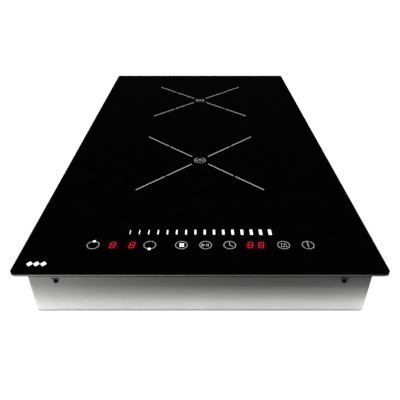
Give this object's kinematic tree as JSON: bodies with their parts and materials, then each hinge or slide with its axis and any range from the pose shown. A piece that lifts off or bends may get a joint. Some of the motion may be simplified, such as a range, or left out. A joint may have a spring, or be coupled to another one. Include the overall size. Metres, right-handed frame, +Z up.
{
  "type": "built-in electric induction cooktop",
  "caption": "Narrow built-in induction cooktop: black glass over a shallow steel housing, front and rear cooking zones, touch controls at the front, a cooling fan inside.",
  "frame": {"origin": "centre of the bounding box's underside, on the housing tray's flat bottom", "axes": "+X to the user's right, +Y from the user towards the rear, +Z up out of the glass"},
  "size_m": [0.288, 0.51, 0.054],
  "materials": {
    "glass_ceramic": "polished black glass-ceramic with ground edges",
    "seal_foam": "closed-cell foam tape",
    "bond_silicone": "cured silicone",
    "galvanised_sheet": "galvanised sheet with a fine brushed grain",
    "black_screw": "black oxide",
    "zinc_steel": "zinc plated",
    "grommet_rubber": "moulded rubber",
    "plate_film": "satin foil",
    "rolled_aluminium": "rolled sheet",
    "sink_aluminium": "extruded, with draw lines",
    "carrier_plastic": "glass-filled, moulded",
    "litz_copper": "stranded enamelled copper",
    "ferrite": "sintered ferrite",
    "mica_fibre": "pressed fibre board",
    "buffer_rubber": "silicone rubber",
    "sensor_silicone": "white silicone",
    "circuit_board": "solder mask over glass laminate",
    "frame_plastic": "moulded, light grey",
    "contact_foam": "conductive foam",
    "display_plastic": "smoked face",
    "chip_resin": "moulded resin",
    "ribbon_jacket": "ribbed flat cable",
    "connector_nylon": "natural nylon",
    "capacitor_box": "moulded box",
    "filter_capacitor_box": "moulded box",
    "can_sleeve": "shrunk sleeve",
    "winding_tape": "polyester tape",
    "enamelled_copper": "enamelled wire",
    "fuse_ceramic": "ceramic tube with plated caps",
    "fan_plastic": "moulded, black",
    "magnet_rubber": "bonded ferrite",
    "shaft_steel": "ground",
    "bearing_bronze": "sintered bronze",
    "stator_iron": "stacked laminations",
    "lead_jacket": "insulated wire",
    "coil_lead_jacket": "braided glass sleeve",
    "block_plastic": "moulded, cream",
    "white_ink": "fired white enamel print",
    "grey_ink": "fired grey enamel print",
    "lit_red": "lit red display segment"
  },
  "bodies": {
    "cooktop": {"air_duct": "frame_plastic", "board_connectors": "connector_nylon", "board_standoffs": "zinc_steel", "bracket_nuts": "zinc_steel", "bridge_rectifier": "chip_resin", "bus_capacitors": "capacitor_box", "buzzer": "chip_resin", "cable_grommet": "grommet_rubber", "choke_core": "ferrite", "choke_winding": "enamelled_copper", "circuit_chips": "chip_resin", "coil_buffers": "buffer_rubber", "coil_carrier_front": "carrier_plastic", "coil_carrier_rear": "carrier_plastic", "coil_leads": "coil_lead_jacket", "coil_screws": "zinc_steel", "coil_winding_front": "litz_copper", "coil_winding_rear": "litz_copper", "control_board": "circuit_board", "control_board_frame": "frame_plastic", "control_ribbon": "ribbon_jacket", "electrolytic_capacitors": "can_sleeve", "fan_bearing": "bearing_bronze", "fan_frame": "fan_plastic", "fan_lead": "lead_jacket", "fan_screws": "zinc_steel", "fan_stator": "stator_iron", "ferrite_bars": "ferrite", "filter_board": "circuit_board", "filter_capacitors": "filter_capacitor_box", "fuse": "fuse_ceramic", "glass_adhesive": "bond_silicone", "glass_rail_front": "galvanised_sheet", "glass_rail_left": "galvanised_sheet", "glass_rail_rear": "galvanised_sheet", "glass_rail_right": "galvanised_sheet", "glass_top": "glass_ceramic", "heat_sink": "sink_aluminium", "housing_tray": "galvanised_sheet", "insulation_discs": "mica_fibre", "m3_screws": "zinc_steel", "power_board": "circuit_board", "power_transistors": "chip_resin", "rail_screws": "black_screw", "rating_plate": "plate_film", "resonant_capacitors": "capacitor_box", "shield_plate": "rolled_aluminium", "shield_posts": "zinc_steel", "standby_transformer": "winding_tape", "supply_leads": "lead_jacket", "temperature_sensors": "sensor_silicone", "terminal_block": "block_plastic", "terminal_screws": "zinc_steel", "timer_display": "display_plastic", "touch_contacts": "contact_foam", "worktop_seal": "seal_foam", "zone_displays": "display_plastic"},
    "impeller": {"fan_impeller": "fan_plastic", "fan_magnet_ring": "magnet_rubber", "fan_shaft": "shaft_steel"}
  },
  "joints": [
    {"name": "fan_spin", "type": "hinge", "parent": "cooktop", "child": "impeller", "pos_m": [0, 0.1, 0.0105], "axis": [0, 0, 1], "continuous": true}
  ]
}
